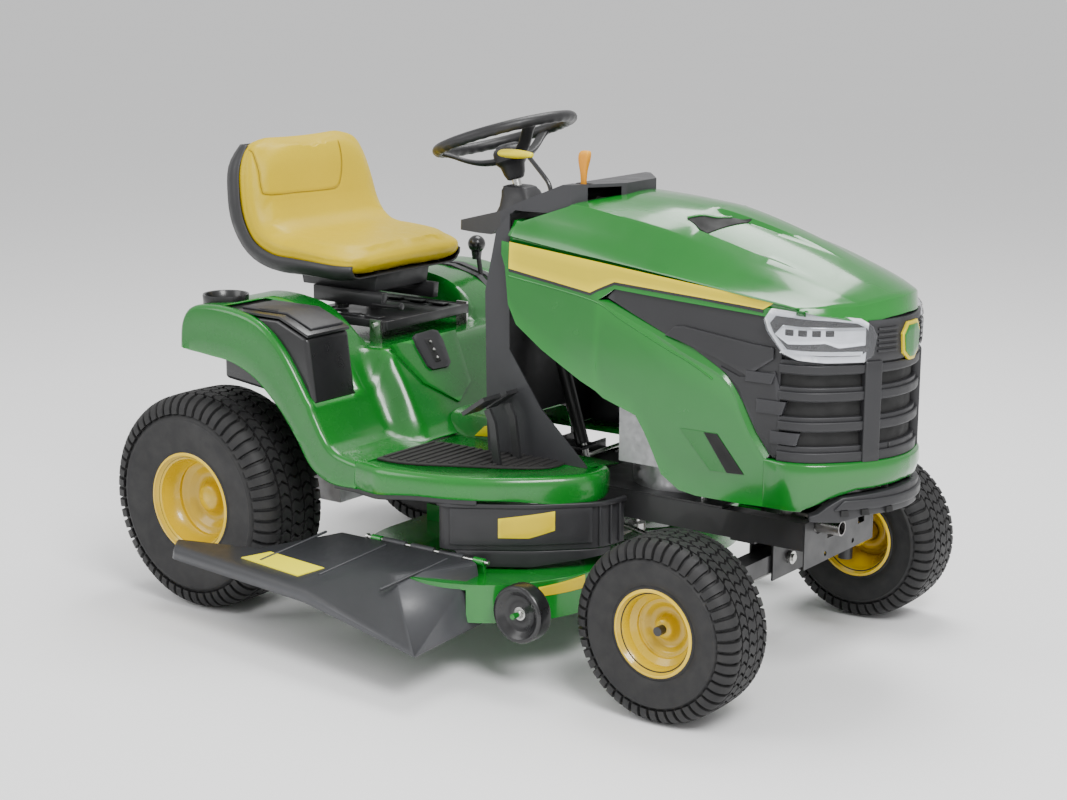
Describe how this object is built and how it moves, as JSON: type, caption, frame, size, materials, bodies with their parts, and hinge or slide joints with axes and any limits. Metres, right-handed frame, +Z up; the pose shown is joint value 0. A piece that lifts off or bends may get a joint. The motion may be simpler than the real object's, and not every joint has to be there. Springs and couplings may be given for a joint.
{
  "type": "riding lawn mower",
  "caption": "Ride-on lawn tractor with tilting hood, padded seat, four turf tyres, pedals, steering linkage and a mid-mounted side-discharge cutting deck that lifts.",
  "frame": {"origin": "centre of the machine's bounding box, on the ground", "axes": "+X forward, +Y to the driver's left, +Z up"},
  "size_m": [1.78, 1.232, 1.1403],
  "materials": {
    "green_paint": "gloss enamel",
    "black_plastic": "fine moulded grain",
    "clear_lens": "clear",
    "black_paint": "satin black powder coat",
    "zinc_steel": "zinc plated",
    "yellow_paint": "gloss enamel",
    "tyre_rubber": "new rubber",
    "mat_rubber": "matt",
    "yellow_vinyl": "vinyl cover over foam",
    "grip_plastic": "soft grip",
    "orange_plastic": "moulded",
    "cast_alloy": "as cast",
    "engine_plastic": "moulded",
    "exhaust_steel": "heat stained",
    "blade_steel": "painted mower blade steel"
  },
  "bodies": {
    "chassis": {"main_frame": "black_paint", "frame_hardware": "zinc_steel", "front_bumper": "black_plastic", "fender_deck": "green_paint", "foot_mats": "mat_rubber", "storage_box": "black_plastic", "lift_quadrant": "black_plastic", "console": "black_plastic", "dash_panel": "black_plastic", "engine_block": "cast_alloy", "engine_shroud": "engine_plastic", "muffler": "exhaust_steel", "battery": "engine_plastic", "fuel_tank": "engine_plastic", "transaxle": "cast_alloy", "belt_skirt": "black_plastic", "steering_column": "black_paint"},
    "storage_cover": {"storage_lid": "black_plastic"},
    "front_beam": {"front_axle": "black_paint"},
    "knuckle_right": {"spindle_right": "black_paint"},
    "knuckle_left": {"spindle_left": "black_paint"},
    "front_wheel_right": {"front_tyre_right": "tyre_rubber", "front_rim_right": "yellow_paint"},
    "front_wheel_left": {"front_tyre_left": "tyre_rubber", "front_rim_left": "yellow_paint"},
    "rear_wheel_right": {"rear_tyre_right": "tyre_rubber", "rear_rim_right": "yellow_paint"},
    "rear_wheel_left": {"rear_tyre_left": "tyre_rubber", "rear_rim_left": "yellow_paint"},
    "steering_tie": {"tie_rod": "zinc_steel"},
    "steering_link": {"drag_link": "zinc_steel"},
    "steering_sector": {"sector_gear": "zinc_steel"},
    "steering": {"steering_wheel": "grip_plastic", "steering_shaft": "zinc_steel"},
    "hood": {"hood_shell": "green_paint", "grille": "black_plastic", "headlight_housings": "black_plastic", "headlight_lenses": "clear_lens", "hood_inserts": "black_plastic", "hood_hinge": "black_paint"},
    "seat_base": {"seat_pan": "black_paint"},
    "seat": {"seat_shell": "black_plastic", "seat_cushion": "yellow_vinyl"},
    "deck": {"deck_shell": "green_paint", "deck_hardware": "zinc_steel", "mower_belt": "mat_rubber", "deck_covers": "black_plastic"},
    "deflector": {"chute": "black_plastic"},
    "cutter_right": {"blade_right": "blade_steel"},
    "cutter_left": {"blade_left": "blade_steel"},
    "gauge_right": {"gauge_wheel_right": "black_plastic"},
    "gauge_left": {"gauge_wheel_left": "black_plastic"},
    "pedal_forward": {"forward_pedal": "black_paint"},
    "pedal_reverse": {"reverse_pedal": "black_paint"},
    "pedal_brake": {"brake_pedal": "black_paint"},
    "blade_control": {"pto_lever": "zinc_steel"},
    "throttle_control": {"throttle_lever": "orange_plastic"},
    "deck_control": {"lift_lever": "zinc_steel"},
    "starter_key": {"ignition_key": "zinc_steel"},
    "crankshaft": {"crank_pulley": "zinc_steel"}
  },
  "joints": [
    {"name": "steering_turn", "type": "hinge", "parent": "chassis", "child": "steering", "pos_m": [-0.128, 0.079, 1.079], "axis": [-0.309, 0, 0.9511], "range_deg": [-270, 270]},
    {"name": "sector_swing", "type": "hinge", "parent": "chassis", "child": "steering_sector", "pos_m": [0.25391, 0.059, 0.236], "axis": [0, 0, 1], "range_deg": [-36, 36]},
    {"name": "axle_rock", "type": "hinge", "parent": "chassis", "child": "front_beam", "pos_m": [0.6, 0.079, 0.232], "axis": [1, 0, 0], "range_deg": [-5, 5]},
    {"name": "knuckle_right_turn", "type": "hinge", "parent": "front_beam", "child": "knuckle_right", "pos_m": [0.6, -0.231, 0.232], "axis": [0, 0, 1], "range_deg": [-36, 36]},
    {"name": "knuckle_left_turn", "type": "hinge", "parent": "front_beam", "child": "knuckle_left", "pos_m": [0.6, 0.389, 0.232], "axis": [0, 0, 1], "range_deg": [-36, 36]},
    {"name": "tie_rod_swing", "type": "hinge", "parent": "knuckle_right", "child": "steering_tie", "pos_m": [0.52, -0.231, 0.152], "axis": [0, 0, 1], "range_deg": [-36, 36]},
    {"name": "drag_link_swing", "type": "hinge", "parent": "knuckle_right", "child": "steering_link", "pos_m": [0.6, -0.161, 0.264], "axis": [0, 0, 1], "range_deg": [-36, 36]},
    {"name": "front_right_spin", "type": "hinge", "parent": "knuckle_right", "child": "front_wheel_right", "pos_m": [0.6, -0.339, 0.1875], "axis": [0, 1, 0], "continuous": true},
    {"name": "front_left_spin", "type": "hinge", "parent": "knuckle_left", "child": "front_wheel_left", "pos_m": [0.6, 0.497, 0.1875], "axis": [0, 1, 0], "continuous": true},
    {"name": "rear_right_spin", "type": "hinge", "parent": "chassis", "child": "rear_wheel_right", "pos_m": [-0.64, -0.34, 0.25], "axis": [0, 1, 0], "continuous": true},
    {"name": "rear_left_spin", "type": "hinge", "parent": "chassis", "child": "rear_wheel_left", "pos_m": [-0.64, 0.498, 0.25], "axis": [0, 1, 0], "continuous": true},
    {"name": "hood_tilt", "type": "hinge", "parent": "chassis", "child": "hood", "pos_m": [0.868, 0.079, 0.424], "axis": [0, 1, 0], "range_deg": [0, 60]},
    {"name": "seat_tilt", "type": "hinge", "parent": "chassis", "child": "seat_base", "pos_m": [-0.378, 0.079, 0.641], "axis": [0, 1, 0], "range_deg": [0, 35]},
    {"name": "seat_slide", "type": "slide", "parent": "seat_base", "child": "seat", "axis": [1, 0, 0], "range_m": [-0.04, 0.04]},
    {"name": "deck_lift", "type": "slide", "parent": "chassis", "child": "deck", "axis": [0, 0, 1], "range_m": [-0.07, 0]},
    {"name": "lift_lever_swing", "type": "hinge", "parent": "chassis", "child": "deck_control", "pos_m": [-0.425, 0.424, 0.47], "axis": [0, 1, 0], "range_deg": [0, 15.5]},
    {"name": "chute_swing", "type": "hinge", "parent": "deck", "child": "deflector", "pos_m": [-0.008, -0.353, 0.236], "axis": [-1, 0, 0], "range_deg": [0, 40], "stiffness_Nm_per_rad": 0.6, "springref_deg": -28.65},
    {"name": "blade_left_spin", "type": "hinge", "parent": "deck", "child": "cutter_left", "pos_m": [0.03, 0.336, 0.14], "axis": [0, 0, 1], "continuous": true},
    {"name": "blade_right_spin", "type": "hinge", "parent": "deck", "child": "cutter_right", "pos_m": [0.03, -0.178, 0.14], "axis": [0, 0, 1], "continuous": true},
    {"name": "crank_spin", "type": "hinge", "parent": "chassis", "child": "crankshaft", "pos_m": [0.37, 0.079, 0.31], "axis": [0, 0, 1], "continuous": true},
    {"name": "gauge_right_spin", "type": "hinge", "parent": "deck", "child": "gauge_right", "pos_m": [0.283, -0.405, 0.167], "axis": [0, 1, 0], "continuous": true},
    {"name": "gauge_left_spin", "type": "hinge", "parent": "deck", "child": "gauge_left", "pos_m": [0.283, 0.563, 0.167], "axis": [0, 1, 0], "continuous": true},
    {"name": "forward_pedal_press", "type": "hinge", "parent": "chassis", "child": "pedal_forward", "pos_m": [0.085, -0.221, 0.364], "axis": [0, 1, 0], "range_deg": [0, 16], "stiffness_Nm_per_rad": 2, "springref_deg": -34.38},
    {"name": "reverse_pedal_press", "type": "hinge", "parent": "chassis", "child": "pedal_reverse", "pos_m": [0.085, -0.15, 0.364], "axis": [0, 1, 0], "range_deg": [0, 16], "stiffness_Nm_per_rad": 2, "springref_deg": -34.38},
    {"name": "brake_pedal_press", "type": "hinge", "parent": "chassis", "child": "pedal_brake", "pos_m": [0.085, 0.329, 0.364], "axis": [0, 1, 0], "range_deg": [0, 16], "stiffness_Nm_per_rad": 2, "springref_deg": -34.38},
    {"name": "blade_lever_swing", "type": "hinge", "parent": "chassis", "child": "blade_control", "pos_m": [0.091, -0.046, 0.93], "axis": [0, 1, 0], "range_deg": [0, 18]},
    {"name": "throttle_swing", "type": "hinge", "parent": "chassis", "child": "throttle_control", "pos_m": [0.166, -0.035, 0.952], "axis": [0, 1, 0], "range_deg": [-14, 14]},
    {"name": "lid_swing", "type": "hinge", "parent": "chassis", "child": "storage_cover", "pos_m": [-0.577, -0.301, 0.694], "axis": [0, -1, 0], "range_deg": [0, 80]},
    {"name": "key_turn", "type": "hinge", "parent": "chassis", "child": "starter_key", "pos_m": [-0.02, 0.174, 0.9], "axis": [0, 0, -1], "range_deg": [0, 60]}
  ],
  "couplings": [
    {"joint": "sector_swing", "follows": "steering_turn", "ratio": -0.12963},
    {"joint": "knuckle_right_turn", "follows": "steering_turn", "ratio": 0.12963},
    {"joint": "knuckle_left_turn", "follows": "steering_turn", "ratio": 0.12963},
    {"joint": "tie_rod_swing", "follows": "steering_turn", "ratio": -0.12963},
    {"joint": "drag_link_swing", "follows": "steering_turn", "ratio": -0.12963},
    {"joint": "lift_lever_swing", "follows": "deck_lift", "rad_per_m": -3.74},
    {"joint": "blade_right_spin", "follows": "blade_left_spin", "ratio": 1},
    {"joint": "crank_spin", "follows": "blade_left_spin", "ratio": 1.136}
  ]
}
